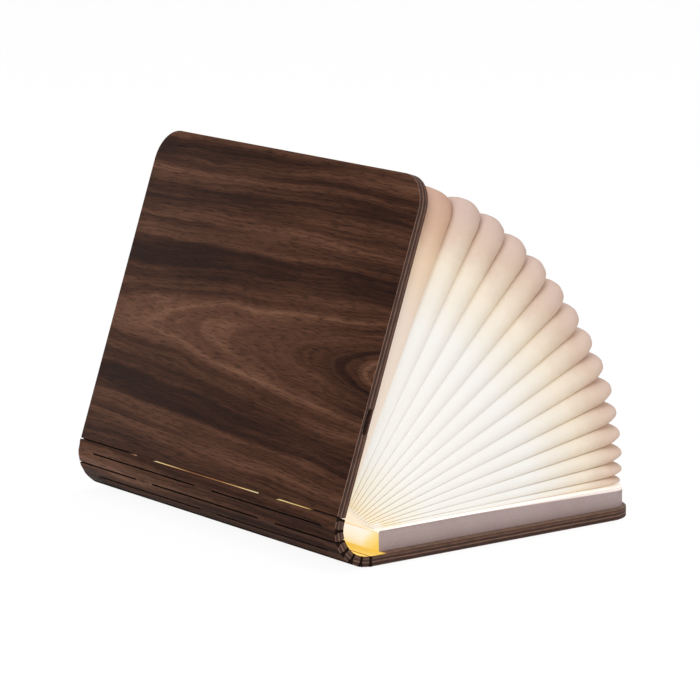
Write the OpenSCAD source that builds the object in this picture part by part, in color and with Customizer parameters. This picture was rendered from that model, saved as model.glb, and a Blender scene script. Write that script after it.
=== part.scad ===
// Folding book lamp: two wooden covers joined by a slit living hinge, with a pleated paper fan that lights from inside.
// Axes: +Y runs along the spine, +X from the spine to the fore edge of the lower cover, +Z up.
// The origin is the centre of the lower cover's underside, where the lamp rests.
// The book is drawn open at open_angle. Every moving piece turns about the hinge lines of the spine.

/* [Covers] */
// Length of the book along its spine, mm
cover_length = 215; // [150:1:260]
// Width of the lower cover from its hinge line to the fore edge, mm
cover_width = 162.2; // [125:0.1:200]
// How far the fore edge of the front cover stays behind the lower one with the book shut, mm
front_short = 3; // [0:0.1:4]
// Thickness of the plywood covers and of the spine strips, mm
board_t = 5; // [4.2:0.1:6]
// Thickness of the walnut skin on the outer face, mm
veneer_t = 0.8; // [0.5:0.1:1.2]
// Radius of the rounded corners at the fore edge, mm
corner_radius = 16; // [8:1:26]

/* [Pose] */
// Angle between the two covers, degrees
open_angle = 71; // [45:1:100]

/* [Spine] */
// Distance between two hinge lines, mm
slat_pitch = 5.5; // [5.2:0.1:6.4]
// Half of the neck of wood that flexes at each hinge line, mm
neck_half = 0.6; // [0.4:0.05:0.8]
// Slope of the sides of each strip, degrees
slat_bevel = 12; // [9:0.5:16]
// Width of the cut beside each flexing web, mm
slit_w = 0.4; // [0.3:0.05:0.6]
// Length of each uncut bridge between two slits, mm
bridge_length = 14; // [8:1:18]
// Distance between two bridges along one hinge line, mm
bridge_pitch = 102.5; // [70:0.5:104]

/* [Paper fan] */
// How the pleats widen from the box to the front cover, 1 for an even fan
pleat_growth = 1.42; // [1.3:0.01:1.6]
// Wall thickness of the paper, mm
paper_t = 0.35; // [0.25:0.05:0.5]
// Clearance between two pleats, mm
pleat_gap = 0.1; // [0.05:0.01:0.15]
// Distance from the hinge line to the root of the lowest pleat, mm
root_start = 8; // [7:0.5:12]
// Depth of the folds at the fore edge, mm
fold_fore = 9; // [6:0.5:11]
// Depth of the folds at the two ends, mm
fold_side = 3.5; // [2:0.5:6.5]
// How far the root of the last pleat stands off the front cover, mm
root_lift = 3.9; // [2.5:0.1:4.2]

/* [Box] */
// Height of the box on the lower cover, mm
box_height = 9.8; // [9:0.1:11]
// Distance from the ends of the cover to the box, mm
box_inset = 4.5; // [3:0.5:8]
// Wall thickness of the box, mm
box_wall = 1.4; // [1:0.1:2]
// Thickness of the lid, mm
lid_t = 1; // [0.8:0.1:1.5]

/* [Inside] */
// Length of the battery, mm
battery_length = 92; // [60:1:110]
// Width of the battery, mm
battery_width = 54; // [40:1:70]
// Thickness of the battery, mm
battery_t = 5.2; // [4:0.2:6]
// Number of light chips on each of the two rows
chips_per_row = 12; // [8:1:16]
// Width of the charging socket, mm
socket_width = 7.5; // [7:0.1:9]
// Distance from the spine to the middle of the charging socket, mm
socket_from_spine = 46; // [36:1:70]
// Diameter of the closing magnets, mm
magnet_d = 8; // [5:1:10]

/* [Hidden] */
$fn = 48;

// Share of the full opening that each pleat wall has turned through, 0 at the box and 1 at the front cover
pleats = 15;
last_fold = 0.985;
stop_share = [for (k = [0 : pleats]) k == pleats ? 1 : last_fold * pow(k / pleats, pleat_growth)];
// The pleat wall that each hinge line's strip turns with
slat_stop = [2, 5, 8, 10, 12, 14];
hinge_share = [0, stop_share[2], stop_share[5], stop_share[8], stop_share[10], stop_share[12], stop_share[14], 1];
// Share of the bend of the open spine that lies below each strip
bend_share = [0, 0.066, 0.209, 0.402, 0.56, 0.74, 0.943, 1];
hinges = 7;
hinge_x = -cover_width / 2;
half_length = cover_length / 2;

// A turn followed by a move in the XZ plane is kept as [angle, x, z]
function turned(a, p) = [cos(a) * p[0] - sin(a) * p[1], sin(a) * p[0] + cos(a) * p[1]];
function placed(m, p) = turned(m[0], p) + [m[1], m[2]];
function joined(m, n) = concat([m[0] + n[0]], placed(m, [n[1], n[2]]));
function about(p, a) = concat([a], p - turned(a, p));

// Heading of the strip after hinge i in the open book, 0 for the lower cover and 7 for the upper one
function heading(i) = 180 - (180 - open_angle) * bend_share[i];

// Hinge lines with the book shut: the strips turn half a circle from the lower to the upper cover
function shut_heading(i) = heading(i) - open_angle * hinge_share[i];
function shut_hinge(i) = i == 0 ? [hinge_x, board_t / 2] :
    shut_hinge(i - 1) + slat_pitch * [cos(shut_heading(i)), sin(shut_heading(i))];
shut_hinges = [for (i = [0 : hinges - 1]) shut_hinge(i)];
shut_top = shut_hinges[6][1] - board_t / 2;

// Movement from shut to open by the angle a, for a piece that has turned through the share c
function movement(c, a) = moved_from(c, a, 0, [0, 0, 0]);
function moved_from(c, a, i, m) = i >= hinges || c <= hinge_share[i] ? m :
    moved_from(c, a, i + 1,
        joined(m, about(shut_hinges[i], a * (min(c, hinge_share[i + 1]) - hinge_share[i]))));

open_hinges = [for (i = [0 : hinges - 1]) placed(movement(hinge_share[i], open_angle), shut_hinges[i])];
function along(a) = [cos(a), sin(a)];
function outward(a) = [-sin(a), cos(a)];

// Points on the side of a strip, at the hinge line h, for a strip that leaves it with the heading a
function side_mid(h, a, way) = h + way * neck_half * along(a);
function side_face(h, a, way, face) = h + way * (neck_half + board_t / 2 * tan(slat_bevel)) * along(a)
    + face * board_t / 2 * outward(a);

module slab_y(points, length) {
    translate([0, length / 2, 0])
        rotate([90, 0, 0])
            linear_extrude(length)
                polygon(points);
}

// A cover drawn flat: x from its hinge line, z from its inner face outward as negative
module cover_outline(width, radius) {
    translate([neck_half, -half_length])
        square([width - neck_half - radius, cover_length]);
    translate([width - radius - 1, -half_length + radius])
        square([radius + 1, cover_length - 2 * radius]);
    for (side = [-1, 1])
        translate([width - radius, side * (half_length - radius)])
            circle(radius);
}

// The hinge side of each cover has the slope of the strips, so that the book opens both ways
module hinge_slope() {
    slope = board_t / 2 * tan(slat_bevel);
    for (face = [0, 1])
        translate([0, 0, face * board_t])
            mirror([0, 0, face])
                slab_y([[-1, -0.01], [neck_half + slope, -0.01], [neck_half, board_t / 2], [-1, board_t / 2]],
                    cover_length + 2);
}

module cover_slice(width, low, high) {
    difference() {
        translate([0, 0, low])
            linear_extrude(high - low)
                cover_outline(width, corner_radius);
        hinge_slope();
    }
}

// Places a piece drawn in the lower cover's flat layout at its hinge line
module on_back() {
    translate([hinge_x, 0, 0])
        children();
}

// Places a piece drawn flat on the front cover: x from its hinge line, z from 0 at the outer face to board_t inside
module on_front() {
    translate([open_hinges[6][0], 0, open_hinges[6][1]])
        rotate([0, -open_angle, 0])
            translate([0, 0, board_t / 2])
                mirror([0, 0, 1])
                    children();
}

// Width of the front cover from its own hinge line
front_width = cover_width + hinge_x - shut_hinges[6][0] - front_short;

magnet_pos = [cover_width - 14, half_length - 20];
magnet_t = 2;
magnet_gap = 0.1;
magnet_skin = 0.6;

module magnet_wells(width) {
    for (side = [-1, 1])
        translate([width - 14, side * magnet_pos[1], board_t - magnet_skin - magnet_t - 2 * magnet_gap])
            cylinder(h = magnet_t + 2 * magnet_gap, d = magnet_d + 2 * magnet_gap);
}

module magnet_pair(width) {
    for (side = [-1, 1])
        translate([width - 14, side * magnet_pos[1], board_t - magnet_skin - magnet_t - magnet_gap])
            cylinder(h = magnet_t, d = magnet_d);
}

module back_cover_core() {
    color([0.42, 0.28, 0.18])
        on_back()
            difference() {
                cover_slice(cover_width, veneer_t, board_t);
                magnet_wells(cover_width);
            }
}

module back_cover_veneer() {
    color([0.33, 0.22, 0.15])
        on_back()
            cover_slice(cover_width, 0, veneer_t);
}

// Pocket in the front cover, open to the inside, with the notch for the plug in the near edge
pocket_length = 26;
pocket_depth = 3.4;
pocket_width = 16;
notch_length = 9.8;
notch_slope = 1.3;
notch_deep = 1.8;
card_t = 0.5;

module socket_pocket() {
    translate([socket_from_spine - pocket_width / 2, -half_length + notch_deep + 0.4, board_t - pocket_depth])
        cube([pocket_width, pocket_length, pocket_depth + 1]);
    translate([socket_from_spine, -half_length - 1, board_t - pocket_depth])
        linear_extrude(pocket_depth + 1)
            polygon([[-notch_length / 2 - notch_slope, 0], [notch_length / 2 + notch_slope, 0],
                [notch_length / 2 + notch_slope, 1], [notch_length / 2, 1 + notch_deep + 0.5],
                [-notch_length / 2, 1 + notch_deep + 0.5], [-notch_length / 2 - notch_slope, 1]]);
}

// Shallow channel for the flat lead, along the inner face from the pocket to the spine
module ribbon_channel() {
    translate([-1, ribbon_y - ribbon_w / 2 - 0.3, board_t - 0.45])
        cube([51, ribbon_w + 0.6, 1]);
    translate([43.7, -84, board_t - 0.45])
        cube([ribbon_w + 0.6, ribbon_y + 84, 1]);
}

module front_cover_core() {
    color([0.42, 0.28, 0.18])
        on_front()
            difference() {
                cover_slice(front_width, veneer_t, board_t);
                magnet_wells(front_width + front_short);
                socket_pocket();
                ribbon_channel();
                translate([sensor_x, sensor_y, board_t - magnet_skin - magnet_t - 2 * magnet_gap])
                    cylinder(h = magnet_t + 2 * magnet_gap, d = sensor_magnet_d + 2 * magnet_gap);
            }
}

module front_cover_veneer() {
    color([0.33, 0.22, 0.15])
        on_front()
            cover_slice(front_width, 0, veneer_t);
}

sensor_x = 54;
sensor_y = 18;
sensor_magnet_d = 5;

module front_magnets() {
    color([0.7, 0.7, 0.72])
        on_front()
            magnet_pair(front_width + front_short);
}

module back_magnets() {
    color([0.7, 0.7, 0.72])
        on_back()
            magnet_pair(cover_width);
}

module sensor_magnet() {
    color([0.7, 0.7, 0.72])
        on_front()
            translate([sensor_x, sensor_y, board_t - magnet_skin - magnet_t - magnet_gap])
                cylinder(h = magnet_t, d = sensor_magnet_d);
}

// One stiff strip between hinge lines i - 1 and i
module slat(i) {
    a = heading(i);
    p = open_hinges[i - 1];
    q = open_hinges[i];
    color([0.36, 0.24, 0.16])
        slab_y([side_mid(p, a, 1), side_face(p, a, 1, 1), side_face(q, a, -1, 1),
            side_mid(q, a, -1), side_face(q, a, -1, -1), side_face(p, a, 1, -1)], cover_length);
}

// The flexing web at hinge line i: it touches the strips at its bridges and is cut free by a slit between them
module web(i) {
    a = heading(i);
    b = heading(i + 1);
    p = open_hinges[i];
    clear = 0.03;
    first = [for (f = [1, 0, -1]) f == 0 ? side_mid(p, a, -1) + clear * along(a) :
        side_face(p, a, -1, f) + clear * along(a)];
    last = [for (f = [-1, 0, 1]) f == 0 ? side_mid(p, b, 1) - clear * along(b) :
        side_face(p, b, 1, f) - clear * along(b)];
    bridges = bridge_pitch * (i % 2 == 0 ? [-0.5, 0.5] : [-1, 0, 1]);
    color([0.3, 0.2, 0.13])
        difference() {
            slab_y(concat(first, last), cover_length);
            for (n = [0 : len(bridges)])
                slit_segment(i, n == 0 ? -half_length - 1 : bridges[n - 1] + bridge_length / 2,
                    n == len(bridges) ? half_length + 1 : bridges[n] - bridge_length / 2);
        }
}

module slit_segment(i, low, high) {
    b = heading(i + 1);
    p = open_hinges[i];
    w = slit_w;
    // the outer half and the inner half of the web are each freed from the next strip
    for (f = [-1, 1])
        if (high > low + 1)
            translate([0, (low + high) / 2, 0])
                slab_y([side_mid(p, b, 1) + 0.25 * f * outward(b) - w * along(b),
                    side_face(p, b, 1, f) - w * along(b) + f * outward(b),
                    side_face(p, b, 1, f) + w * along(b) + f * outward(b),
                    side_mid(p, b, 1) + 0.25 * f * outward(b) + w * along(b)], high - low);
}

module spine_slat_1() { slat(1); }
module spine_slat_2() { slat(2); }
module spine_slat_3() { slat(3); }
module spine_slat_4() { slat(4); }
module spine_slat_5() { slat(5); }
module spine_slat_6() { slat(6); }
module hinge_web_1() { web(0); }
module hinge_web_2() { web(1); }
module hinge_web_3() { web(2); }
module hinge_web_4() { web(3); }
module hinge_web_5() { web(4); }
module hinge_web_6() { web(5); }
module hinge_web_7() { web(6); }

// Paper fan. Each pleat is a closed ring of folded paper between two pleat walls that radiate from the root.
fan_low = board_t + box_height + 0.1;
fan_high = shut_top - card_t - 0.1;
wall_half = half_length - 9;
wall_tip = cover_width - 9;
tip_radius = 9;

// Height of pleat wall k with the book shut, at its tip and at its root
function tip_height(k) = fan_low + (fan_high - fan_low) * k / pleats;
function root_height(k) = tip_height(k) - (k < pleats ? root_lift * pow(k / (pleats - 1), 2) : 0);
function root_x(k) = hinge_x + root_start - 0.7 * k / pleats;
tip_x = hinge_x + wall_tip;

// A point on pleat wall k in the open pose: reach 0 to 1 runs from the root to where the tip corner starts
function wall_s(k, reach, extra) = root_x(k) + reach * (tip_x - tip_radius - root_x(k)) + extra;
function wall_point(k, reach, extra) =
    let (x = wall_s(k, reach, extra),
        f = (x - root_x(k)) / (tip_x - root_x(k)),
        z = root_height(k) + f * (tip_height(k) - root_height(k)))
    placed(movement(stop_share[k], open_angle), [x, z]);

// The wide folds are drawn flatter than the narrow ones, and the last one lies close to the front cover
function fold_share(k) = k == pleats ? 0.4 : 1 - 0.35 * pow(k / pleats, 4);

// Stations round a pleat: [reach, extra, y, outward along the page, outward along the spine, depth of the fold]
side_reach = [0, 0.1, 0.27, 0.5, 0.75, 1];
function side_depth(r) = fold_side * (0.4 + 0.6 * pow(r, 0.6));
function side_station(r, way) = [r, 0, way * wall_half, 0, way, side_depth(r)];
function corner_station(a, way) = [1, tip_radius * sin(a), way * (wall_half - tip_radius + tip_radius * cos(a)),
    sin(a), way * cos(a), fold_side + (fold_fore - fold_side) * sin(min(90, 1.6 * a))];
corner_steps = [22.5, 45, 67.5, 90];
stations = concat(
    [for (r = side_reach) side_station(r, -1)],
    [for (a = corner_steps) corner_station(a, -1)],
    [for (y = [-0.33, 0.33]) [1, tip_radius, y * wall_half, 1, 0, fold_fore]],
    [for (i = [3 : -1 : 0]) corner_station(corner_steps[i], 1)],
    [for (i = [5 : -1 : 0]) side_station(side_reach[i], 1)],
    [for (y = [0.6, 0, -0.6]) [0, 0, y * wall_half, -1, 0, 0.9]]);
fold_steps = [0, 36, 72, 108, 144, 180];

function spread(u) = u / norm(u);
function page_way(k) = spread(wall_point(k - 1, 1, 0) - wall_point(k - 1, 0, 0)
    + wall_point(k, 1, 0) - wall_point(k, 0, 0));

// Ring of points of pleat k at station s: out along the fold, back along its inner side
function fold_ring(k, s) =
    let (a = wall_point(k - 1, s[0], s[1]), b = wall_point(k, s[0], s[1]), way = page_way(k),
        wide = norm(b - a), edge = pleat_gap / 2 / wide, inner = edge + paper_t / 2 / wide,
        out = [s[3] * way[0], s[4], s[3] * way[1]])
    concat(
        [for (t = fold_steps) fold_point(a, b, s[2], out, edge, fold_depth(k, s), t)],
        [for (i = [5 : -1 : 0]) fold_point(a, b, s[2], out, inner, fold_depth(k, s) - paper_t, fold_steps[i])]);
function fold_depth(k, s) = s[5] > fold_side ? fold_side + (s[5] - fold_side) * fold_share(k) : s[5];
function fold_point(a, b, y, out, edge, depth, t) =
    let (v = edge + (1 - 2 * edge) * (1 - cos(t)) / 2, p = a + v * (b - a))
    [p[0], y, p[1]] + depth * max(sin(t), 0) * out;

module lobe(k) {
    rings = len(stations);
    ring = 2 * len(fold_steps);
    points = [for (s = stations) each fold_ring(k, s)];
    faces = [for (i = [0 : rings - 1]) for (j = [0 : ring - 1])
        let (n = (i + 1) % rings, m = (j + 1) % ring)
        each [[i * ring + j, n * ring + j, n * ring + m], [i * ring + j, n * ring + m, i * ring + m]]];
    color([0.97, 0.94, 0.87])
        polyhedron(points, faces);
}

module lobe_01() { lobe(1); }
module lobe_02() { lobe(2); }
module lobe_03() { lobe(3); }
module lobe_04() { lobe(4); }
module lobe_05() { lobe(5); }
module lobe_06() { lobe(6); }
module lobe_07() { lobe(7); }
module lobe_08() { lobe(8); }
module lobe_09() { lobe(9); }
module lobe_10() { lobe(10); }
module lobe_11() { lobe(11); }
module lobe_12() { lobe(12); }
module lobe_13() { lobe(13); }
module lobe_14() { lobe(14); }
module lobe_15() { lobe(15); }

// Box on the lower cover
box_end = cover_width - 3;
box_radius = 8;
floor_t = 1.2;
box_top = board_t + box_height;
inside_low = board_t + floor_t;
ribbon_w = 6;
ribbon_y = 31;
ribbon_t = 0.3;

module box_outline(inset) {
    r = box_radius - inset;
    half = half_length - box_inset - inset;
    low = root_start + inset;
    high = box_end - inset;
    translate([low, -half])
        square([high - r - low, 2 * half]);
    translate([high - r - 1, -half + r])
        square([r + 1, 2 * half - 2 * r]);
    for (side = [-1, 1])
        translate([high - r, side * (half - r)])
            circle(r);
}

board_low = [30, -20];
board_size = [30, 58];
board_z = inside_low + 1;
pcb_t = 1.2;

module standoff_spots() {
    for (x = [3, board_size[0] - 3])
        for (y = [4, board_size[1] - 4])
            translate([board_low[0] + x, board_low[1] + y, 0])
                children();
}

module box_tray() {
    color([0.86, 0.84, 0.83])
        on_back() {
            difference() {
                translate([0, 0, board_t])
                    linear_extrude(box_height - lid_t)
                        box_outline(0);
                translate([0, 0, inside_low])
                    linear_extrude(box_height)
                        box_outline(box_wall);
                translate([root_start - 1, ribbon_y - ribbon_w / 2 - 0.4, board_t - 1])
                    cube([16, ribbon_w + 0.8, 1.7]);
                translate([root_start + 14, ribbon_y - ribbon_w / 2 - 0.4, board_t - 1])
                    cube([12, ribbon_w + 0.8, 4]);
            }
            standoff_spots()
                translate([0, 0, inside_low - 0.2])
                    cylinder(h = 1.2, d = 3.4);
        }
}

module box_lid() {
    color([0.97, 0.95, 0.9])
        on_back()
            translate([0, 0, box_top - lid_t])
                linear_extrude(lid_t)
                    box_outline(0);
}

battery_x = 76;

module battery() {
    r = battery_t / 2;
    z = inside_low + 0.1;
    color([0.75, 0.77, 0.8])
        on_back() {
            translate([battery_x, battery_length / 2, z])
                rotate([90, 0, 0])
                    linear_extrude(battery_length) {
                        translate([r, 0])
                            square([battery_width - 2 * r, battery_t]);
                        translate([r, r])
                            circle(r);
                        translate([battery_width - r, r])
                            circle(r);
                    }
            translate([battery_x + 4, battery_length / 2 - 0.5, z + r - 0.5])
                cube([battery_width - 8, 4.5, 1]);
        }
}

// A wire is drawn through a list of points in straight lengths that run into each other a little
module wire(points, d) {
    for (i = [0 : len(points) - 2])
        between(points[i], points[i + 1], d);
}

module between(p, q, d) {
    v = q - p;
    past = 0.35 * d;
    translate(p)
        rotate([0, acos(v[2] / norm(v)), atan2(v[1], v[0])])
            translate([0, 0, -past])
                cylinder(h = norm(v) + 2 * past, d = d, $fn = 8);
}

wire_d = 1.1;
wire_z = inside_low + 0.1 + battery_t + 0.8;

module battery_lead() {
    color([0.75, 0.1, 0.1])
        on_back()
            for (s = [0, 1])
                wire([[battery_x + 18 + 6 * s, battery_length / 2 + 5, inside_low + 3.1],
                    [battery_x + 12 + 2 * s, battery_length / 2 + 8 + 2 * s, inside_low + 3.1],
                    [battery_x - 22, battery_length / 2 + 8 + 2 * s, inside_low + 3.1],
                    [board_low[0] + 22 + 3 * s, board_low[1] + board_size[1] + 4, board_z + pcb_t + 0.9],
                    [board_low[0] + 22 + 3 * s, board_low[1] + board_size[1] - 3, board_z + pcb_t + 0.9]], wire_d);
}

module control_board() {
    color([0.1, 0.4, 0.25])
        on_back() {
            translate([board_low[0], board_low[1], board_z])
                cube([board_size[0], board_size[1], pcb_t]);
            for (part = [[5, 12, 7, 7, 1.4], [16, 10, 9, 6, 1.6], [6, 26, 5, 4, 1.2], [15, 25, 8, 8, 3.2],
                [5, 38, 4, 8, 1.3], [20, 46, 8, 6, 0.3]])
                translate([board_low[0] + part[0], board_low[1] + part[1], board_z + pcb_t - 0.05])
                    cube([part[2], part[3], part[4] + 0.05]);
            for (y = [4, 20])
                translate([board_low[0] + 26.5, board_low[1] + y + 4, board_z + pcb_t - 0.05])
                    cylinder(h = 4, d = 4.6, $fn = 24);
        }
}

module opening_sensor() {
    x = front_offset + sensor_x;
    color([0.08, 0.08, 0.09])
        on_back() {
            translate([x - 2, sensor_y - 1.5, board_z + pcb_t + 0.8])
                cube([4, 3, 1.6]);
            for (s = [-1, 0, 1])
                translate([x - 0.2 + 1.27 * s, sensor_y - 0.2, board_z + pcb_t])
                    cube([0.4, 0.4, 0.9]);
        }
}

front_offset = shut_hinges[6][0] - hinge_x;
strip_spots = [12, 64];
strip_w = 8;
strip_half = half_length - 13;

module led_strip() {
    color([0.93, 0.93, 0.9])
        on_back()
            for (x = strip_spots)
                translate([x, -strip_half, inside_low])
                    cube([strip_w, 2 * strip_half, 0.8]);
}

module led_chips() {
    pitch = 2 * strip_half / chips_per_row;
    color([1, 0.93, 0.7])
        on_back()
            for (x = strip_spots)
                for (n = [0 : chips_per_row - 1])
                    translate([x + strip_w / 2 - 1.75, -strip_half + pitch * (n + 0.5) - 1.4, inside_low + 0.8])
                        cube([3.5, 2.8, 1.4]);
}

module led_lead() {
    color([0.85, 0.85, 0.8])
        on_back()
            for (s = [0, 1])
                wire([[strip_spots[0] + strip_w - 1.5, -30 - 4 * s, inside_low + 1.5],
                    [strip_spots[0] + strip_w + 5, -30 - 3 * s, inside_low + 1.5],
                    [board_low[0] + 4 + 3 * s, -28 - 2 * s, inside_low + 1.5],
                    [board_low[0] + 4 + 3 * s, board_low[1] - 3, board_z + pcb_t + 0.9],
                    [board_low[0] + 4 + 3 * s, board_low[1] + 3, board_z + pcb_t + 0.9]], wire_d);
}

// Charging socket in the near edge of the front cover, and its board in the pocket
socket_y = -half_length + notch_deep + 0.6;
socket_depth = 5.4;
socket_h = 2.5;
charge_board_t = 0.6;
pocket_floor = board_t - pocket_depth;

module charge_board() {
    color([0.1, 0.4, 0.25])
        on_front() {
            translate([socket_from_spine - pocket_width / 2 + 1, socket_y + 0.8, pocket_floor + 0.05])
                cube([pocket_width - 2, pocket_length - 3, charge_board_t]);
            for (part = [[-5, 9, 5, 4, 1], [1.5, 9, 3, 3, 0.8], [-4, 15, 8, 4, 1.2]])
                translate([socket_from_spine + part[0], socket_y + part[1], pocket_floor + charge_board_t])
                    cube([part[2], part[3], part[4]]);
        }
}

module charge_socket() {
    z = pocket_floor + 0.05 + charge_board_t;
    wall = 0.35;
    color([0.78, 0.78, 0.8])
        on_front() {
            difference() {
                translate([socket_from_spine - socket_width / 2, socket_y, z])
                    cube([socket_width, socket_depth, socket_h]);
                translate([socket_from_spine - socket_width / 2 + wall, socket_y - 1, z + wall])
                    cube([socket_width - 2 * wall, socket_depth, socket_h - 2 * wall]);
            }
            translate([socket_from_spine - 2.2, socket_y + 0.7, z + socket_h / 2])
                cube([4.4, socket_depth - 1, 0.6]);
        }
}

card_start = 7;

module front_card() {
    color([0.95, 0.93, 0.88])
        on_front()
            translate([0, 0, board_t])
                linear_extrude(card_t) {
                    translate([card_start, -wall_half + 1])
                        square([front_width - 14 - card_start, 2 * wall_half - 2]);
                    translate([front_width - 15, -wall_half + 9])
                        square([9, 2 * wall_half - 18]);
                    for (side = [-1, 1])
                        translate([front_width - 14, side * (wall_half - 9)])
                            circle(8);
                }
}

// Flat lead from the charging board over the inside of the spine into the box
ribbon_path = concat(
    [[front_offset_point(50, -0.35), front_offset_point(50, -0.05)],
        [front_offset_point(7, -0.35), front_offset_point(7, -0.05)],
        [front_offset_point(4.5, 0.12), front_offset_point(4.5, 0.42)]],
    [for (i = [6 : -1 : 0]) [inner_corner(i, 0.12), inner_corner(i, 0.12 + ribbon_t)]],
    [for (p = [[21.5, 0.12], [26.5, 1.85], [board_low[0] + 1, 1.85]])
        [[hinge_x + p[0], board_t + p[1]], [hinge_x + p[0], board_t + p[1] + ribbon_t]]]);
function front_offset_point(s, rise) = open_hinges[6] + s * along(open_angle)
    - (board_t / 2 + rise) * outward(open_angle);
function inner_corner(i, rise) =
    let (a = heading(i), b = heading(i + 1), m = (a + b) / 2)
    open_hinges[i] - (board_t / 2 + rise) / cos((a - b) / 2) * outward(m);

module spine_ribbon() {
    n = len(ribbon_path);
    color([0.8, 0.55, 0.2]) {
        translate([0, ribbon_y, 0])
            slab_y(concat([for (p = ribbon_path) p[0]], [for (i = [n - 1 : -1 : 0]) ribbon_path[i][1]]), ribbon_w);
        on_front()
            translate([44, -78, board_t - 0.35])
                cube([ribbon_w, ribbon_y + 78, ribbon_t]);
    }
}

back_cover_core();
back_cover_veneer();
front_cover_core();
front_cover_veneer();
spine_slat_1();
spine_slat_2();
spine_slat_3();
spine_slat_4();
spine_slat_5();
spine_slat_6();
hinge_web_1();
hinge_web_2();
hinge_web_3();
hinge_web_4();
hinge_web_5();
hinge_web_6();
hinge_web_7();
lobe_01();
lobe_02();
lobe_03();
lobe_04();
lobe_05();
lobe_06();
lobe_07();
lobe_08();
lobe_09();
lobe_10();
lobe_11();
lobe_12();
lobe_13();
lobe_14();
lobe_15();
box_tray();
box_lid();
battery();
battery_lead();
control_board();
opening_sensor();
led_strip();
led_chips();
led_lead();
charge_board();
charge_socket();
spine_ribbon();
front_card();
front_magnets();
back_magnets();
sensor_magnet();
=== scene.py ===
# Folding book lamp, open on a pale table: wooden covers, a spine of slit wood
# and a paper fan lit from inside. Everything is in metres, in the part's frame:
# +Y along the spine, +X to the fore edge of the lower cover, +Z up.
import math

import bmesh
import bpy
from mathutils import Matrix, Vector
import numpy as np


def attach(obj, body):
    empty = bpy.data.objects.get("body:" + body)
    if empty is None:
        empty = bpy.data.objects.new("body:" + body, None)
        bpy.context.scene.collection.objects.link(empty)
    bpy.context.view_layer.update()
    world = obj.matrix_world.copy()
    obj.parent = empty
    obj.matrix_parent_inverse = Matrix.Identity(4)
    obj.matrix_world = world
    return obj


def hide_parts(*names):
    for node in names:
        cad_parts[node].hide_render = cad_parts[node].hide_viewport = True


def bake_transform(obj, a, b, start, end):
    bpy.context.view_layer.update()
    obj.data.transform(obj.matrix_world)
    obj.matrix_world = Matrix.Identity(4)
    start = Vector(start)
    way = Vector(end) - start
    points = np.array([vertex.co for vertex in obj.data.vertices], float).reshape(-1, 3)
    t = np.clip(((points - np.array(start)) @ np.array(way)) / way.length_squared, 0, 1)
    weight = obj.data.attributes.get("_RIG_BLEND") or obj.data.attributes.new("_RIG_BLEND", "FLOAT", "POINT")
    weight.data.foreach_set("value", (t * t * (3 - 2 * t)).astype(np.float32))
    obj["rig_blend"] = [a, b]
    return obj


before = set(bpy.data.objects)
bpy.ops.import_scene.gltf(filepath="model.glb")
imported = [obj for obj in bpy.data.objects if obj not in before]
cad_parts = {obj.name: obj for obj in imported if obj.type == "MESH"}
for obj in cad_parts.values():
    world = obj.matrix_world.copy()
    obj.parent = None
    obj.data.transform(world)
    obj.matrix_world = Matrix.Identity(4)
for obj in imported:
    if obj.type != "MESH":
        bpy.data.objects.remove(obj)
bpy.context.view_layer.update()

# The photographer's place: a long lens, low down, in front of the spine and of the near end of the book.
# The picture is square, and the camera leans by a third of a degree as the real one did.
lens = bpy.data.cameras.new("photo_camera")
lens.sensor_width = 36
lens.lens = 200.9
lens.clip_start = 0.05
lens.clip_end = 60
camera = bpy.data.objects.new("photo_camera", lens)
camera.location = (-1.12284, -1.49849, 0.43978)
camera.rotation_euler = (1.378444, 0.006003, -0.638858)
bpy.context.scene.collection.objects.link(camera)
bpy.context.scene.camera = camera
bpy.context.scene.view_settings.view_transform = "Standard"

# The table and the light: a pale sheet that runs on past the picture, and large soft lamps in a white room.
# The camera sees the room and the sheet nearly white, while the sheet keeps the shadow of the book.
sheet = bpy.data.meshes.new("pale_table")
shape = bmesh.new()
bmesh.ops.create_grid(shape, x_segments=1, y_segments=1, size=6)
bmesh.ops.translate(shape, vec=(0, 0, -0.0004), verts=shape.verts)
shape.to_mesh(sheet)
shape.free()
table = bpy.data.objects.new("pale_table", sheet)
bpy.context.scene.collection.objects.link(table)

table_paint = bpy.data.materials.new("pale_table")
table_paint.use_nodes = True
nodes = table_paint.node_tree.nodes
links = table_paint.node_tree.links
nodes.clear()
seen = nodes.new("ShaderNodeLightPath")
share = nodes.new("ShaderNodeMath")
share.operation = "MULTIPLY"
share.inputs[1].default_value = 0.9
links.new(seen.outputs["Is Camera Ray"], share.inputs[0])
matt = nodes.new("ShaderNodeBsdfDiffuse")
matt.inputs["Color"].default_value = (0.86, 0.86, 0.86, 1)
white = nodes.new("ShaderNodeEmission")
white.inputs["Color"].default_value = (1, 1, 1, 1)
white.inputs["Strength"].default_value = 1.03
both = nodes.new("ShaderNodeMixShader")
links.new(share.outputs[0], both.inputs["Fac"])
links.new(matt.outputs[0], both.inputs[1])
links.new(white.outputs[0], both.inputs[2])
out = nodes.new("ShaderNodeOutputMaterial")
links.new(both.outputs[0], out.inputs["Surface"])
sheet.materials.append(table_paint)

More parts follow.
